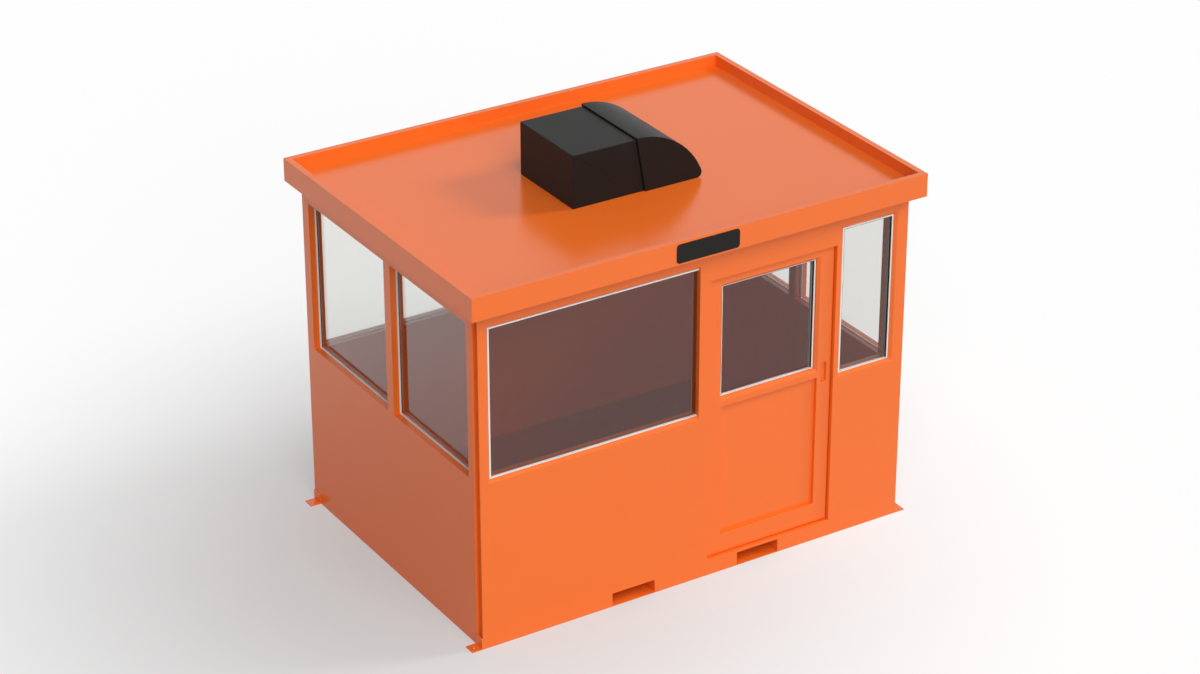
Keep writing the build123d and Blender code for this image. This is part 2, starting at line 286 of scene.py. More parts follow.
def cut_block(piece, corner, opposite):
    """Takes a block out of a piece."""
    carve(piece, add_block("cutter", corner, opposite))


def pick(piece, kind, test):
    """Opens a piece for editing, with the edges or faces that pass a test selected."""
    activate(piece)
    bpy.ops.object.mode_set(mode="EDIT")
    bpy.ops.mesh.select_mode(type=kind)
    bpy.ops.mesh.select_all(action="DESELECT")
    bpy.ops.object.mode_set(mode="OBJECT")
    items = piece.data.edges if kind == "EDGE" else piece.data.polygons
    chosen = 0
    for item in items:
        item.select = test(item)
        chosen += item.select
    if not chosen:
        raise RuntimeError(f"nothing to shape on {piece.name}")
    bpy.ops.object.mode_set(mode="EDIT")


def ends(piece, edge):
    """The two ends of an edge."""
    return [piece.data.vertices[i].co for i in edge.vertices]


def near(value, wanted):
    """True where two lengths are the same."""
    return abs(value - wanted) < SAME_LENGTH


def runs_along_y(a, b):
    """True where an edge's two ends differ only in y."""
    return near(a.x, b.x) and near(a.z, b.z)


def round_edges(piece, radius, segments, test):
    """Rounds the edges that pass a test, which gets each edge's two ends."""
    pick(piece, "EDGE", lambda edge: test(*ends(piece, edge)))
    bpy.ops.mesh.bevel(offset=radius, segments=segments, affect="EDGES", clamp_overlap=True)
    bpy.ops.object.mode_set(mode="OBJECT")


def soften(piece, width, segments):
    """Rounds every sharp edge a little, with flat faces kept flat."""
    activate(piece)
    bpy.ops.object.shade_smooth()
    bpy.ops.object.modifier_add(type="BEVEL")
    modifier = piece.modifiers[-1]
    modifier.width = width
    modifier.segments = segments
    modifier.limit_method = "ANGLE"
    modifier.angle_limit = SHARP_ANGLE
    modifier.harden_normals = True
    modifier.use_clamp_overlap = False
    bpy.ops.object.modifier_apply(modifier=modifier.name)


def join(name, pieces):
    """Joins objects into one piece."""
    activate(pieces[0])
    for piece in pieces:
        piece.select_set(True)
    if len(pieces) > 1:
        bpy.ops.object.join()
    return settle(bpy.context.object, name)


def copy_at(piece, offset):
    """A copy with its own mesh, moved along."""
    activate(piece)
    bpy.ops.object.duplicate(linked=False)
    bpy.ops.transform.translate(value=offset)
    return bpy.context.object


def copy_of_node(name, node):
    """A merged copy of a node's mesh, with its flat faces made whole."""
    piece = bpy.data.objects.new(name, frame["nodes"][node].data.copy())
    piece.data.name = name
    bpy.context.scene.collection.objects.link(piece)
    activate(piece)
    bpy.ops.mesh.customdata_custom_splitnormals_clear()
    bpy.ops.object.mode_set(mode="EDIT")
    bpy.ops.mesh.select_all(action="SELECT")
    bpy.ops.mesh.remove_doubles(threshold=MERGE_LENGTH)
    bpy.ops.mesh.dissolve_limited(angle_limit=FLAT_ANGLE)
    bpy.ops.object.mode_set(mode="OBJECT")
    return piece


def hand_over(piece, finish, body, *nodes):
    """Gives a finished piece its finish and its body, and hides the nodes that it stands in for."""
    if not piece.data.polygons:
        raise RuntimeError(f"{piece.name} has no faces")
    piece.data.materials.clear()
    piece.data.materials.append(bpy.data.materials[FINISH_PREFIX + finish])
    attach(piece, body)
    if nodes:
        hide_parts(*nodes)


def joined_box(nodes):
    """Lowest and highest corner of several nodes together."""
    lows, highs = zip(*(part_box(node) for node in nodes))
    return Vector(map(min, *lows)), Vector(map(max, *highs))


# Finishes


def mottle_group():
    """Soft clouding of tone and gloss, with a fine grain."""
    group = bpy.data.node_groups.new("mottle", "ShaderNodeTree")
    socket = group.interface.new_socket
    socket("Vector", in_out="INPUT", socket_type="NodeSocketVector")
    for name in ("Cloud Scale", "Grain Scale", "Depth"):
        socket(name, in_out="INPUT", socket_type="NodeSocketFloat")
    for name in ("Tone", "Gloss", "Height"):
        socket(name, in_out="OUTPUT", socket_type="NodeSocketFloat")
    nodes, links = group.nodes, group.links
    inputs, outputs = nodes.new("NodeGroupInput"), nodes.new("NodeGroupOutput")
    cloud, grain = nodes.new("ShaderNodeTexNoise"), nodes.new("ShaderNodeTexNoise")
    cloud.inputs["Detail"].default_value = 3.0
    grain.inputs["Detail"].default_value = 2.0
    centred, tone = nodes.new("ShaderNodeMath"), nodes.new("ShaderNodeMath")
    centred.operation = "SUBTRACT"
    centred.inputs[1].default_value = 0.5
    tone.operation = "MULTIPLY_ADD"
    tone.inputs[2].default_value = 1.0
    for noise, scale in ((cloud, "Cloud Scale"), (grain, "Grain Scale")):
        links.new(inputs.outputs["Vector"], noise.inputs["Vector"])
        links.new(inputs.outputs[scale], noise.inputs["Scale"])
    links.new(cloud.outputs["Fac"], centred.inputs[0])
    links.new(centred.outputs[0], tone.inputs[0])
    links.new(inputs.outputs["Depth"], tone.inputs[1])
    links.new(tone.outputs[0], outputs.inputs["Tone"])
    links.new(centred.outputs[0], outputs.inputs["Gloss"])
    links.new(grain.outputs["Fac"], outputs.inputs["Height"])
    return group


def add_node(tree, kind, **values):
    """A node with some of its inputs set."""
    node = tree.nodes.new(kind)
    for name, value in values.items():
        node.inputs[name.replace("_", " ")].default_value = value
    return node


def base_finish(name, tint, roughness, cloud, grain, depth, gloss=0.08, bump=0.05, stretch=None):
    """A finish that clouds softly over a fine grain, which stretch draws out along an axis."""
    material = bpy.data.materials.new(FINISH_PREFIX + name)
    material.use_nodes = True
    tree = material.node_tree
    shader = tree.nodes["Principled BSDF"]
    shader.inputs["Roughness"].default_value = roughness
    place = tree.nodes.new("ShaderNodeTexCoord")
    mottle = tree.nodes.new("ShaderNodeGroup")
    mottle.node_tree = bpy.data.node_groups["mottle"]
    for socket, value in (("Cloud Scale", cloud), ("Grain Scale", grain), ("Depth", depth)):
        mottle.inputs[socket].default_value = value
    source = place.outputs["Object"]
    if stretch is not None:
        mapping = add_node(tree, "ShaderNodeMapping", Scale=stretch)
        tree.links.new(source, mapping.inputs["Vector"])
        source = mapping.outputs["Vector"]
    tree.links.new(source, mottle.inputs["Vector"])
    shade = add_node(tree, "ShaderNodeHueSaturation", Color=(*tint, 1.0))
    tree.links.new(mottle.outputs["Tone"], shade.inputs["Value"])
    tree.links.new(shade.outputs["Color"], shader.inputs["Base Color"])
    polish = tree.nodes.new("ShaderNodeMath")
    polish.operation = "MULTIPLY_ADD"
    polish.inputs[1].default_value = gloss
    polish.inputs[2].default_value = roughness
    tree.links.new(mottle.outputs["Gloss"], polish.inputs[0])
    tree.links.new(polish.outputs[0], shader.inputs["Roughness"])
    relief = add_node(tree, "ShaderNodeBump", Strength=bump, Distance=GRAIN_HEIGHT)
    tree.links.new(mottle.outputs["Height"], relief.inputs["Height"])
    tree.links.new(relief.outputs["Normal"], shader.inputs["Normal"])
    return material


def glass_finish(name, tint):
    """Tinted float glass that bends what is seen and lets lamp light and room light through straight."""
    material = base_finish(name, tint, roughness=0.03, cloud=1.5, grain=6.0, depth=0.0, gloss=0.02, bump=0.0)
    tree = material.node_tree
    shader, output = tree.nodes["Principled BSDF"], tree.nodes["Material Output"]
    shader.inputs["Transmission Weight"].default_value = 1.0
    shader.inputs["IOR"].default_value = GLASS_IOR
    rays = tree.nodes.new("ShaderNodeLightPath")
    passed = [PANE_LIGHT_SHARE * c for c in tint]
    straight = add_node(tree, "ShaderNodeBsdfTransparent", Color=(*passed, 1.0))
    seen = shader.outputs["BSDF"]
    for ray in ("Is Diffuse Ray", "Is Shadow Ray"):
        mix = tree.nodes.new("ShaderNodeMixShader")
        tree.links.new(rays.outputs[ray], mix.inputs["Fac"])
        tree.links.new(seen, mix.inputs[1])
        tree.links.new(straight.outputs["BSDF"], mix.inputs[2])
        seen = mix.outputs["Shader"]
    tree.links.new(seen, output.inputs["Surface"])
    return material


def speckled_finish(name, tint, roughness):
    """A floor cover with pale flecks."""
    material = base_finish(name, tint, roughness, cloud=1.2, grain=180.0, depth=0.25, gloss=0.15, bump=0.10)
    tree = material.node_tree
    shader, shade = tree.nodes["Principled BSDF"], tree.nodes["Hue/Saturation/Value"]
    flecks = add_node(tree, "ShaderNodeTexVoronoi", Scale=FLECK_SCALE)
    band = tree.nodes.new("ShaderNodeMapRange")
    ranges = (("From Min", FLECK_EDGE[0]), ("From Max", FLECK_EDGE[1]), ("To Min", 1.0), ("To Max", 0.0))
    for socket, value in ranges:
        band.inputs[socket].default_value = value
    mix = tree.nodes.new("ShaderNodeMix")
    mix.data_type = "RGBA"
    mix.inputs["B"].default_value = (*[min(1.0, FLECK_LIFT * c) for c in tint], 1.0)
    tree.links.new(tree.nodes["Texture Coordinate"].outputs["Object"], flecks.inputs["Vector"])
    tree.links.new(flecks.outputs["Distance"], band.inputs["Value"])
    tree.links.new(band.outputs["Result"], mix.inputs["Factor"])
    tree.links.new(shade.outputs["Color"], mix.inputs["A"])
    tree.links.new(mix.outputs["Result"], shader.inputs["Base Color"])
    return material


class BOOTH_OT_finishes(bpy.types.Operator):
    """Makes the finishes and gives them to the nodes that stay"""

    bl_idname = "booth.finishes"
    bl_label = "Finishes"

    def execute(self, context):
        tints = context.scene.booth_colours
        mottle_group()
        paint = base_finish("orange_paint", tints.paint, roughness=0.22, cloud=1.1, grain=520.0,
                            depth=0.035, bump=0.03)
        paint.node_tree.nodes["Principled BSDF"].inputs["IOR"].default_value = PAINT_IOR
        coat = base_finish("black_coat", tints.coat, roughness=0.48, cloud=5.0, grain=900.0,
                           depth=0.20, bump=0.08)
        coat.node_tree.nodes["Principled BSDF"].inputs["Specular IOR Level"].default_value = COAT_SPECULAR
        glass_finish("tinted_glass", tints.glass)
        base_finish("white_bead", tints.bead, roughness=0.40, cloud=4.0, grain=700.0, depth=0.05)
        base_finish("black_gasket", tints.rubber, roughness=0.62, cloud=9.0, grain=900.0,
                    depth=0.30, bump=0.12)
        speckled_finish("floor_cover", tints.floor_cover, roughness=0.55)
        steel = base_finish("hinge_steel", tints.steel, roughness=0.34, cloud=12.0, grain=90.0, depth=0.10,
                            gloss=0.20, bump=0.06, stretch=(14.0, 14.0, 1.0))
        steel.node_tree.nodes["Principled BSDF"].inputs["Metallic"].default_value = 1.0
        for row in frame["record"]["subparts"]:
            node = frame["nodes"][row["node"]]
            node.data.materials.clear()
            node.data.materials.append(bpy.data.materials[FINISH_PREFIX + row["material_slot"]])
        return {"FINISHED"}


# Walls


def pocket_openings(sizes):
    """The fork pockets' openings, as low and high x, low and high z."""
    for node in POCKET_NODES:
        low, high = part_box(node)
        wall = sizes.pocket_wall
        yield low.x + wall, high.x - wall, low.z + wall, high.z - wall


def flare_opening(piece, face_y, opening, sizes, bare=False):
    """Splays an opening, given as low and high x, low and high z, towards the front.

    With bare, its high end stays square.
    """
    left, right, foot, head = opening
    flare = sizes.flare
    mouth = add_block("cutter", (left, face_y - flare, foot), (right, face_y + flare, head))
    pick(mouth, "FACE", lambda face: face.normal.y < -FACING)
    spread = 2 * flare
    wider = 1 + (spread if bare else 2 * spread) / (right - left)
    taller = 1 + 2 * spread / (head - foot)
    centre = (right if bare else (left + right) / 2, face_y - flare, (foot + head) / 2)
    bpy.ops.transform.resize(value=(wider, 1.0, taller), center_override=centre)
    bpy.ops.object.mode_set(mode="OBJECT")
    carve(piece, mouth)


def wall_along_x(name, nodes, openings, sizes):
    """A wall along X with openings, each given as low and high x, low and high z."""
    low, high = joined_box(nodes)
    wall = add_block(name, low, high)
    for left, right, foot, head in openings:
        cut_block(wall, (left, low.y - sizes.overrun, foot), (right, high.y + sizes.overrun, head))
    return wall


class BOOTH_OT_front_wall(bpy.types.Operator):
    """Makes the front wall: one folded sheet with two window openings, the doorway and the corner grooves"""

    bl_idname = "booth.front_wall"
    bl_label = "Front wall"

    def execute(self, context):
        sizes = context.scene.booth_sizes
        sill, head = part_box("front_post_left")[0].z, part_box("front_post_left")[1].z - sizes.head_drop
        threshold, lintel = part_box("door_threshold"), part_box("door_lintel")
        openings = [
            (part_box("front_post_left")[1].x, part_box("door_post_left")[0].x, sill, head),
            (threshold[0].x, threshold[1].x, threshold[1].z, lintel[0].z),
            (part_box("door_post_right")[1].x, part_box("front_post_right")[0].x, sill, head),
            *pocket_openings(sizes),
        ]
        wall = wall_along_x("front_wall", FRONT_NODES, openings, sizes)
        low, high = joined_box(FRONT_NODES)
        flare_opening(wall, low.y, openings[0], sizes, bare=True)
        flare_opening(wall, low.y, openings[2], sizes)
        for end in (low.x, high.x):
            inward = math.copysign(1.0, -end)
            cut_block(wall, (end - inward * sizes.overrun, low.y + sizes.groove_lip, sizes.groove_foot),
                      (end + inward * sizes.groove_depth, high.y + sizes.overrun, high.z + sizes.overrun))
        soften(wall, sizes.sheet_edge, sizes.edge_segments)
        hand_over(wall, "orange_paint", "booth", *FRONT_NODES)
        return {"FINISHED"}


class BOOTH_OT_side_walls(bpy.types.Operator):
    """Makes the two side walls, each with two windows and a bent flange beside the front corner"""

    bl_idname = "booth.side_walls"
    bl_label = "Side walls"

    def execute(self, context):
        sizes = context.scene.booth_sizes
        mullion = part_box("back_wall_mullion")[1].x
        inner_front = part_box("front_header")[1].y
        for word, side in SIDES.items():
            nodes = [f"{word}_wall_{kind}" for kind in ("panel", "posts", "header")]
            low, high = joined_box(nodes)
            outer, inner = (low.x, high.x) if side < 0 else (high.x, low.x)
            wall = add_block(f"{word}_wall", low, high)
            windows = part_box(f"{word}_window_frames")
            foot, head = windows[0].z, windows[1].z - sizes.head_drop
            for start, end in ((windows[0].y, -mullion), (mullion, windows[1].y)):
                cut_block(wall, (low.x - sizes.overrun, start, foot), (high.x + sizes.overrun, end, head))
            cut_block(wall, (outer - side * sizes.groove_depth, low.y - sizes.overrun, low.z - sizes.overrun),
                      (inner - side * sizes.overrun, inner_front, high.z + sizes.overrun))
            cut_block(wall, (low.x - sizes.overrun, low.y - sizes.overrun, low.z - sizes.overrun),
                      (high.x + sizes.overrun, inner_front, sizes.groove_foot))
            round_edges(wall, sizes.flange_bend, CORNER_SEGMENTS,
                        lambda a, b: all(near(v.x, outer) and near(v.y, low.y) for v in (a, b)))
            soften(wall, sizes.sheet_edge, sizes.edge_segments)
            hand_over(wall, "orange_paint", "booth", *nodes)
        return {"FINISHED"}


class BOOTH_OT_back_wall(bpy.types.Operator):
    """Makes the back wall, with two windows and the fork pockets' far ends"""

    bl_idname = "booth.back_wall"
    bl_label = "Back wall"

    def execute(self, context):
        sizes = context.scene.booth_sizes
        windows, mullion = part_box("back_window_frames"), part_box("back_wall_mullion")
        openings = [
            (windows[0].x - sizes.overrun, mullion[0].x, windows[0].z, windows[1].z - sizes.head_drop),
            (mullion[1].x, windows[1].x + sizes.overrun, windows[0].z, windows[1].z - sizes.head_drop),
            *pocket_openings(sizes),
        ]
        wall = wall_along_x("back_wall", BACK_NODES, openings, sizes)
        soften(wall, sizes.sheet_edge, sizes.edge_segments)
        hand_over(wall, "orange_paint", "booth", *BACK_NODES)
        return {"FINISHED"}


class BOOTH_OT_base(bpy.types.Operator):
    """Makes the fork pockets between the walls, and the welded angle feet"""

    bl_idname = "booth.base"
    bl_label = "Base"

    def foot(self, name, corner, side, size, sizes):
        """An angle foot welded to the wall, drilled for a ground bolt."""
        plate = sizes.foot_plate
        foot = add_block(name, corner, corner + Vector((side * size.x, size.y, size.z)))
        past = size + Vector((sizes.overrun, sizes.overrun, sizes.overrun))
        cut_block(foot, corner + Vector((side * plate, -sizes.overrun, plate)),
                  corner + Vector((side * past.x, past.y, past.z)))
        activate(None)
        middle = corner + Vector((side * (size.x + plate) / 2, size.y / 2, 0.0))
        bpy.ops.mesh.primitive_cylinder_add(vertices=HOLE_SIDES, radius=sizes.foot_hole, depth=sizes.overrun,
                                            location=middle)
        carve(foot, settle(bpy.context.object, "cutter"))
        soften(foot, plate * FOOT_EDGE_SHARE, FINE_SEGMENTS)
        return foot

    def weld(self, name, start, run, sizes):
        """A weld of overlapping ripples along the top of a foot."""
        activate(None)
        bpy.ops.mesh.primitive_uv_sphere_add(segments=RIPPLE_SEGMENTS, ring_count=RIPPLE_RINGS,
                                             radius=sizes.weld_size, location=start)
        weld = settle(bpy.context.object, name)
        bpy.ops.object.shade_smooth()
        bpy.ops.object.modifier_add(type="ARRAY")
        ripples = weld.modifiers[-1]
        ripples.use_relative_offset = False
        ripples.use_constant_offset = True
        ripples.constant_offset_displace = (0.0, RIPPLE_STEP_SHARE * sizes.weld_size, 0.0)
        ripples.fit_type = "FIT_LENGTH"
        ripples.fit_length = run - sizes.weld_size
        bpy.ops.object.modifier_apply(modifier=ripples.name)
        return weld

    def execute(self, context):
        sizes = context.scene.booth_sizes
        front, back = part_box("front_header")[1].y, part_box("back_wall_header")[0].y
        for node in POCKET_NODES:
            low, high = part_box(node)
            tube = add_block(node + "_tube", (low.x, front, low.z), (high.x, back, high.z))
            wall = Vector((sizes.pocket_wall, -sizes.overrun, sizes.pocket_wall))
            cut_block(tube, Vector((low.x, front, low.z)) + wall, Vector((high.x, back, high.z)) - wall)
            soften(tube, sizes.pocket_wall * POCKET_EDGE_SHARE, 1)
            hand_over(tube, "orange_paint", "booth", node)
        for word, side in SIDES.items():
            low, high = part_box(f"{word}_feet")
            wall_x = high.x if side < 0 else low.x
            size = Vector((high.x - low.x, sizes.foot_length, high.z))
            pieces = []
            for start in (low.y, high.y - size.y):
                corner = Vector((wall_x, start, 0.0))
                pieces.append(self.foot("foot", corner, side, size, sizes))
                seam = corner + Vector((side * sizes.foot_plate * WELD_INSET_SHARE, sizes.weld_size, size.z))
                pieces.append(self.weld("weld", seam, size.y - sizes.weld_size, sizes))
            hand_over(join(f"{word}_foot_angles", pieces), "orange_paint", "booth", f"{word}_feet")
        return {"FINISHED"}


# Glazing


def window_block(name, wall, span, lap, depths, sizes, past=0.0):
    """A block in a window: span is its (start, end, foot, head, bare), lap draws it in, depths run inwards.

    At a bare end the block isn't drawn in, but runs past the end.
    """
    along, face, inward = wall
    start, end, foot, head, bare = span
    rise = sizes.sill_bead - sizes.bead_width if lap else 0.0
    far = end + past if bare else end - lap
    corners = []
    for u, z, depth in ((start + lap, foot + lap + rise, depths[0]), (far, head - lap, depths[1])):
        corner = Vector((0.0, 0.0, z))
        corner[along] = u
        corner[1 - along] = face + inward * depth
        corners.append(corner)
    return add_block(name, *corners)


def glaze(name, wall, spans, depth, body, nodes, bead_depth, rubber_set, sizes):
    """The beads, gaskets and panes of one wall's windows, in place of its frame and glass nodes."""
    beads, gaskets, panes = [], [], []
    over, lap = sizes.overrun, sizes.bead_width
    rebate = bead_depth + sizes.pane
    for span in spans:
        ring = window_block("bead", wall, span, 0.0, (0.0, depth), sizes)
        open_foot = (*span[:2], span[2] - over, *span[3:])
        if depth > rebate:
            carve(ring, window_block("cutter", wall, span, lap, (-over, rebate), sizes, over))
            stop_lap = lap + sizes.stop_width
            stop_cut = (rebate - sizes.pane / 2, depth + over)
            carve(ring, window_block("cutter", wall, open_foot, stop_lap, stop_cut, sizes, over))
        else:
            carve(ring, window_block("cutter", wall, span, lap, (-over, depth + over), sizes, over))
        soften(ring, sizes.bead_edge, FINE_SEGMENTS)
        beads.append(ring)
        rubber = window_block("gasket", wall, span, lap, (rubber_set, bead_depth), sizes)
        rubber_lap = lap + sizes.gasket_face
        carve(rubber, window_block("cutter", wall, open_foot, rubber_lap, (-over, over), sizes, over))
        soften(rubber, sizes.gasket_face * GASKET_EDGE_SHARE, FINE_SEGMENTS)
        gaskets.append(rubber)
        pane = window_block("pane", wall, span, lap, (bead_depth, rebate), sizes)
        soften(pane, sizes.pane_edge, 1)
        panes.append(pane)
    frame_node, glass_node = nodes
    hand_over(join(f"{name}_beads", beads), "white_bead", body, frame_node)
    hand_over(join(f"{name}_gaskets", gaskets), "black_gasket", body)
    hand_over(join(f"{name}_panes", panes), "tinted_glass", body, glass_node)


class BOOTH_OT_glazing(bpy.types.Operator):
    """Makes the beads, gaskets and panes of the windows in the four walls"""

    bl_idname = "booth.glazing"
    bl_label = "Glazing"

    def execute(self, context):
        sizes = context.scene.booth_sizes
        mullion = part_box("back_wall_mullion")[1].x
        for word in ("front", "back", *SIDES):
            node = f"{word}_window_frames"
            low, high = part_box(node)
            high.z -= sizes.head_drop
            along = 1 if word in SIDES else 0
            outside_low = word in ("front", "left")
            face = (low if outside_low else high)[1 - along]
            if word == "front":
                first_end, second_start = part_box("door_post_left")[0].x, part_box("door_post_right")[1].x
                depth = (high - low)[1 - along]
                seat = (sizes.bead_lap, sizes.gasket_set)
            else:
                first_end, second_start = -mullion, mullion
                depth = sizes.side_bead_lap + sizes.pane
                seat = (sizes.side_bead_lap, sizes.side_gasket_set)
            spans = [(low[along], first_end, low.z, high.z, word == "front"),
                     (second_start, high[along], low.z, high.z, False)]
            glaze(f"{word}_window", (along, face, 1 if outside_low else -1), spans, depth, "booth",
                  (node, f"{word}_window_glass"), *seat, sizes)
        return {"FINISHED"}


# Roof


class BOOTH_OT_roof_rim(bpy.types.Operator):
    """Makes the raised rim round the roof, a folded channel open underneath"""

    bl_idname = "booth.roof_rim"
    bl_label = "Roof rim"

    def execute(self, context):
        sizes = context.scene.booth_sizes
        low, high = joined_box(RIM_NODES)
        deck_low, deck_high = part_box("roof_deck")
        rim = add_block("roof_rim", low, high)
        cut_block(rim, (deck_low.x, deck_low.y, low.z - sizes.overrun),
                  (deck_high.x, deck_high.y, high.z + sizes.overrun))
        pick(rim, "FACE", lambda face: face.normal.z < -FACING)
        bpy.ops.mesh.inset(thickness=sizes.rim_skin, depth=0.0)
        bpy.ops.mesh.extrude_region_move(
            TRANSFORM_OT_translate={"value": (0.0, 0.0, high.z - low.z - sizes.rim_skin)})
        bpy.ops.object.mode_set(mode="OBJECT")
        soften(rim, sizes.sheet_edge * RIM_EDGE_SHARE, sizes.edge_segments)
        hand_over(rim, "orange_paint", "booth", *RIM_NODES)
        return {"FINISHED"}


class BOOTH_OT_roof_unit(bpy.types.Operator):
    """Makes the roof unit's housing and bull-nosed hood with rounded sheet edges"""

    bl_idname = "booth.roof_unit"
    bl_label = "Roof unit"

    def execute(self, context):
        sizes = context.scene.booth_sizes
        for part, share in (("housing", 1.0), ("hood", HOOD_EDGE_SHARE)):
            shell = copy_of_node(f"roof_{part}_shell", f"roof_unit_{part}")
            soften(shell, sizes.unit_edge * share, sizes.edge_segments)
            hand_over(shell, "black_coat", "booth", f"roof_unit_{part}")
        return {"FINISHED"}


class BOOTH_OT_sign_plate(bpy.types.Operator):
    """Makes the bare plate with rounded corners on the front of the rim"""

    bl_idname = "booth.sign_plate"
    bl_label = "Sign plate"

    def execute(self, context):
        sizes = context.scene.booth_sizes
        low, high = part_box("roof_rim_front")
        middle = (low.z + high.z) / 2 - sizes.rim_skin / 2
        half_width, half_height = sizes.sign_width / 2, sizes.sign_height / 2
        plate = add_block("sign_plate", (-half_width, low.y - sizes.sign_thickness, middle - half_height),
                          (half_width, low.y, middle + half_height))
        round_edges(plate, sizes.sign_corner, CORNER_SEGMENTS, runs_along_y)
        soften(plate, sizes.sign_thickness * TRIM_EDGE_SHARE, FINE_SEGMENTS)
        hand_over(plate, "black_coat", "booth")
        return {"FINISHED"}


# Door


class BOOTH_OT_door(bpy.types.Operator):
    """Makes the framed door leaf with its window, recessed panel, flush pulls and rubber seal"""

    bl_idname = "booth.door"
    bl_label = "Door"

    def execute(self, context):
        sizes = context.scene.booth_sizes
        low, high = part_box("door_leaf")
        window_low, window_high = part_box("door_window_frame")
        stile = window_low.x - low.x
        panel_end, panel_foot = high.x - stile, low.z + sizes.panel_foot
        pull_x = high.x - stile / 2
        low.z -= sizes.leaf_skin
        high += Vector((sizes.leaf_skin, 0.0, sizes.leaf_skin))
        over = sizes.overrun
        leaf = add_block("door_panel", low, high)
        cut_block(leaf, (window_low.x, low.y - over, window_low.z),
                  (window_high.x, high.y + over, window_high.z))
        cut_block(leaf, (window_low.x, low.y - over, panel_foot),
                  (panel_end, low.y + sizes.panel_recess, window_low.z - sizes.middle_rail))
        opening = (window_low.x, window_high.x, window_low.z, window_high.z)
        flare_opening(leaf, low.y, opening, sizes)
        half = Vector((sizes.pull_width / 2, sizes.pull_depth, sizes.pull_height / 2))
        for face_y in (low.y, high.y):
            middle = Vector((pull_x, face_y, sizes.pull_level))
            cup = add_block("cutter", middle - half, middle + half)
            round_edges(cup, sizes.pull_round, PULL_SEGMENTS, runs_along_y)
            carve(leaf, cup)
        soften(leaf, sizes.leaf_edge, sizes.edge_segments)
        hand_over(leaf, "orange_paint", "door", "door_leaf")
        glaze("door_window", (0, window_low.y, 1), [(*opening, False)], window_high.y - window_low.y, "door",
              ("door_window_frame", "door_glass"), sizes.bead_lap, sizes.gasket_set, sizes)
        reach = Vector((sizes.seal_reach, 0.0, sizes.seal_reach))
        seal_low = Vector((low.x - sizes.leaf_skin, high.y - sizes.seal_depth, low.z)) - reach
        seal = add_block("door_seal", seal_low, high + reach)
        cut_block(seal, (low.x, low.y - over, low.z), (high.x, high.y + over, high.z))
        soften(seal, sizes.seal_reach * TRIM_EDGE_SHARE, FINE_SEGMENTS)
        hand_over(seal, "black_gasket", "door")
        return {"FINISHED"}


class BOOTH_OT_hinge_screws(bpy.types.Operator):
    """Makes the slotted screw heads on the hinge leaves"""

    bl_idname = "booth.hinge_screws"
    bl_label = "Hinge screws"

    hinges: IntProperty(name="Hinges", description="Hinges on the door", default=3, min=1)
    rows: IntProperty(name="Rows", description="Screws on each leaf", default=3, min=1)

    def screw(self, place, sizes):
        """One slotted head standing on a face that looks along +Y."""
        activate(None)
        bpy.ops.mesh.primitive_cylinder_add(vertices=SCREW_SIDES, radius=sizes.screw_radius,
                                            depth=2 * sizes.screw_height, location=place,
                                            rotation=(math.pi / 2, 0.0, 0.0))
        head = settle(bpy.context.object, "screw")
        slot = Vector((2 * sizes.screw_radius, sizes.screw_height, sizes.screw_radius * SLOT_WIDTH_SHARE))
        cut_block(head, place + Vector((-slot.x, slot.y * SLOT_FLOOR_SHARE, -slot.z)), place + slot * 2)
        soften(head, sizes.screw_height * TRIM_EDGE_SHARE, FINE_SEGMENTS)
        return head

    def execute(self, context):
        sizes = context.scene.booth_sizes
        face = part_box("door_leaf")[1].y + sizes.hinge_leaf
        hinge_length = sizes.hinge_length
        for word, body in (("leaf", "door"), ("post", "booth")):
            low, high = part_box(f"door_hinges_{word}")
            inset = SCREW_INSET_SHARE * (high.x - low.x)
            middle_x = low.x + inset if word == "post" else high.x - inset
            pitch = (high.z - low.z - hinge_length) / (self.hinges - 1)
            first = Vector((middle_x, face, low.z + hinge_length / 2))
            model = self.screw(first, sizes)
            step = hinge_length / self.rows
            heads = []
            for hinge in range(self.hinges):
                for row in range(self.rows):
                    shift = Vector((0.0, 0.0, hinge * pitch + (row - (self.rows - 1) / 2) * step))
                    heads.append(copy_at(model, shift))
            bpy.data.meshes.remove(model.data)
            hand_over(join(f"{word}_hinge_screws", heads), "hinge_steel", body)
        return {"FINISHED"}


# Stage


def bright_rays(tree):
    """One for the rays that show the background: from the camera, a reflection or through glass."""
    rays = tree.nodes.new("ShaderNodeLightPath")
    total = rays.outputs["Is Camera Ray"]
    for ray in ("Is Glossy Ray", "Is Transmission Ray"):
        either = tree.nodes.new("ShaderNodeMath")
        either.operation = "MAXIMUM"
        tree.links.new(total, either.inputs[0])
        tree.links.new(rays.outputs[ray], either.inputs[1])
        total = either.outputs[0]
    return total


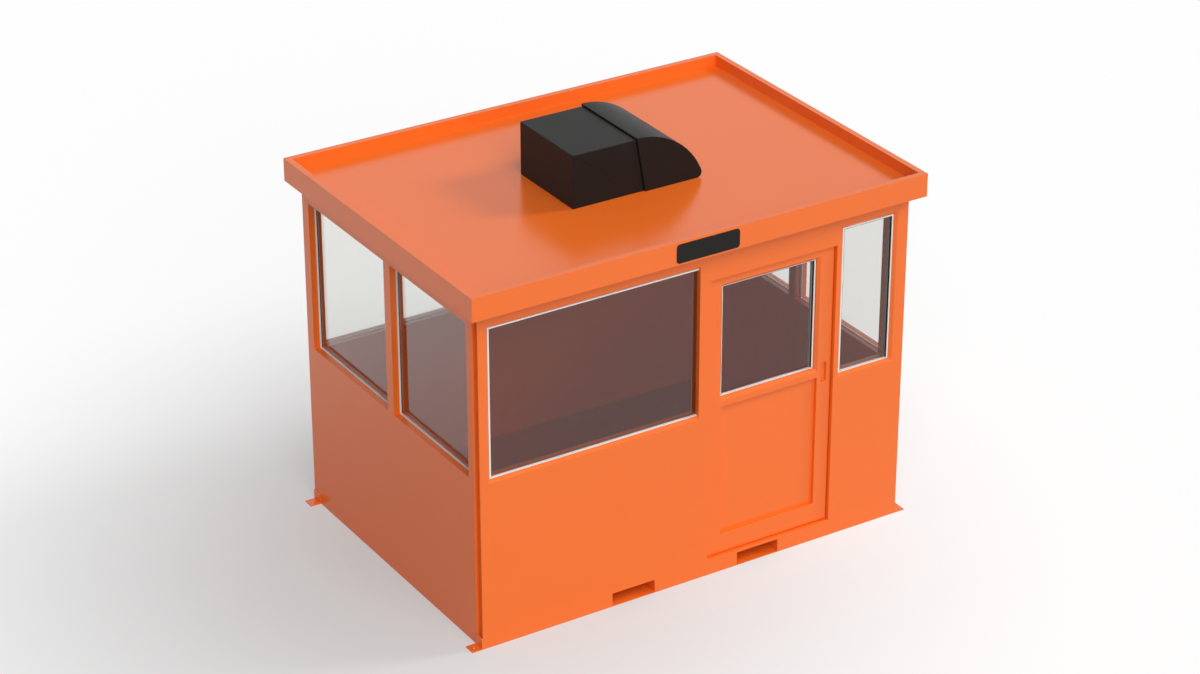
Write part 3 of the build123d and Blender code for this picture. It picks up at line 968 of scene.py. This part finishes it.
class BOOTH_OT_stage(bpy.types.Operator):
    """Makes the pale floor, the soft light and the camera"""

    bl_idname = "booth.stage"
    bl_label = "Stage"

    def floor(self, stage, tints):
        """A wide pale floor that keeps the booth's shadow, with painted shade in its glow round the booth."""
        activate(None)
        bpy.ops.mesh.primitive_plane_add(size=2 * stage.ground_size, location=(0.0, 0.0, 0.0))
        ground = settle(bpy.context.object, "studio_floor")
        material = bpy.data.materials.new("studio_floor")
        material.use_nodes = True
        tree = material.node_tree
        tree.nodes.remove(tree.nodes["Principled BSDF"])
        matt = tree.nodes.new("ShaderNodeBsdfDiffuse")
        shade = tree.nodes.new("ShaderNodeMix")
        shade.data_type = "RGBA"
        shade.inputs["A"].default_value = (*tints.ground, 1.0)
        shade.inputs["B"].default_value = (*tints.ground_seen, 1.0)
        glow = add_node(tree, "ShaderNodeEmission", Color=WHITE)
        place = tree.nodes.new("ShaderNodeTexCoord")
        offset, reach = tree.nodes.new("ShaderNodeVectorMath"), tree.nodes.new("ShaderNodeVectorMath")
        offset.operation, reach.operation = "SUBTRACT", "LENGTH"
        offset.inputs[1].default_value = stage.painted_shade_centre
        # Painted shade round the booth: the glow rises from the near lift beside the booth to the far lift at
        # the shade's reach.
        painted_shade_ramp = tree.nodes.new("ShaderNodeMapRange")
        painted_shade_ramp.interpolation_type = "SMOOTHSTEP"
        for socket, value in (("From Min", 0.0), ("From Max", stage.painted_shade_reach), ("To Min", stage.painted_shade_lift),
                              ("To Max", stage.ground_lift)):
            painted_shade_ramp.inputs[socket].default_value = value
        tree.links.new(place.outputs["Object"], offset.inputs[0])
        tree.links.new(offset.outputs["Vector"], reach.inputs[0])
        tree.links.new(reach.outputs["Value"], painted_shade_ramp.inputs["Value"])
        lift = tree.nodes.new("ShaderNodeMath")
        lift.operation = "MULTIPLY"
        tree.links.new(painted_shade_ramp.outputs["Result"], lift.inputs[1])
        both = tree.nodes.new("ShaderNodeAddShader")
        seen = bright_rays(tree)
        tree.links.new(seen, shade.inputs["Factor"])
        tree.links.new(shade.outputs["Result"], matt.inputs["Color"])
        tree.links.new(seen, lift.inputs[0])
        tree.links.new(lift.outputs[0], glow.inputs["Strength"])
        tree.links.new(matt.outputs[0], both.inputs[0])
        tree.links.new(glow.outputs[0], both.inputs[1])
        tree.links.new(both.outputs[0], tree.nodes["Material Output"].inputs["Surface"])
        ground.data.materials.append(material)

    def sky(self, scene, stage):
        """Even light all round, white to the camera."""
        scene.world = bpy.data.worlds.new("studio")
        scene.world.use_nodes = True
        tree = scene.world.node_tree
        backdrop = tree.nodes["Background"]
        backdrop.inputs["Color"].default_value = WHITE
        strength = tree.nodes.new("ShaderNodeMath")
        strength.operation = "MULTIPLY_ADD"
        strength.inputs[1].default_value = 1.0 - stage.sky_level
        strength.inputs[2].default_value = stage.sky_level
        tree.links.new(bright_rays(tree), strength.inputs[0])
        tree.links.new(strength.outputs[0], backdrop.inputs["Strength"])

    def light(self, scene, name, towards, strength, softness):
        """A soft lamp far away, in the direction given."""
        lamp = bpy.data.lights.new(name, "SUN")
        lamp.energy = strength
        lamp.angle = softness
        lamp_object = bpy.data.objects.new(name, lamp)
        lamp_object.rotation_euler = Vector(towards).to_track_quat("Z", "Y").to_euler()
        scene.collection.objects.link(lamp_object)

    def camera(self, scene, stage):
        """A long lens, above and to the left of the front."""
        lens = bpy.data.cameras.new("camera")
        lens.lens = stage.focal_length
        lens.clip_end = 4 * stage.ground_size
        camera = bpy.data.objects.new("camera", lens)
        turn, flat = stage.azimuth, math.cos(stage.elevation)
        back = Vector((math.sin(turn) * flat, -math.cos(turn) * flat, math.sin(stage.elevation)))
        camera.location = Vector(stage.target) + back * stage.distance
        camera.rotation_euler = (math.pi / 2 - stage.elevation, 0.0, turn)
        scene.collection.objects.link(camera)
        scene.camera = camera

    def execute(self, context):
        scene = context.scene
        stage = scene.booth_stage
        self.floor(stage, scene.booth_colours)
        self.sky(scene, stage)
        self.light(scene, "key", stage.key_direction, stage.key_strength, stage.key_softness)
        self.light(scene, "side", stage.side_direction, stage.side_strength, stage.side_softness)
        self.light(scene, "rear", stage.rear_direction, stage.rear_strength, stage.rear_softness)
        self.camera(scene, stage)
        scene.view_settings.view_transform = "Standard"
        return {"FINISHED"}


# Sidebar panel and registration

STEPS = (
    BOOTH_OT_finishes, BOOTH_OT_front_wall, BOOTH_OT_side_walls, BOOTH_OT_back_wall, BOOTH_OT_base,
    BOOTH_OT_glazing, BOOTH_OT_roof_rim, BOOTH_OT_roof_unit, BOOTH_OT_sign_plate, BOOTH_OT_door,
    BOOTH_OT_hinge_screws, BOOTH_OT_stage,
)


class BOOTH_PT_panel(bpy.types.Panel):
    """Lists the booth's steps and settings"""

    bl_idname = "BOOTH_PT_panel"
    bl_label = "Guard booth"
    bl_space_type = "VIEW_3D"
    bl_region_type = "UI"
    bl_category = "Guard booth"

    def draw(self, context):
        layout = self.layout
        for step in STEPS:
            layout.operator(step.bl_idname)
        for group in (context.scene.booth_sizes, context.scene.booth_colours, context.scene.booth_stage):
            column = layout.column()
            for name in group.__annotations__:
                column.prop(group, name)


GROUPS = {"booth_sizes": BoothSizes, "booth_colours": BoothColours, "booth_stage": StageSettings}


def register():
    for kind in (*GROUPS.values(), *STEPS, BOOTH_PT_panel):
        bpy.utils.register_class(kind)
    for name, group in GROUPS.items():
        setattr(bpy.types.Scene, name, PointerProperty(type=group))


def unregister():
    for name in GROUPS:
        delattr(bpy.types.Scene, name)
    for kind in (BOOTH_PT_panel, *reversed(STEPS), *GROUPS.values()):
        bpy.utils.unregister_class(kind)


def main():
    """Builds every piece in order."""
    register()
    bpy.ops.booth.finishes()
    bpy.ops.booth.front_wall()
    bpy.ops.booth.side_walls()
    bpy.ops.booth.back_wall()
    bpy.ops.booth.base()
    bpy.ops.booth.glazing()
    bpy.ops.booth.roof_rim()
    bpy.ops.booth.roof_unit()
    bpy.ops.booth.sign_plate()
    bpy.ops.booth.door()
    bpy.ops.booth.hinge_screws()
    bpy.ops.booth.stage()


if __name__ == "__main__":
    main()
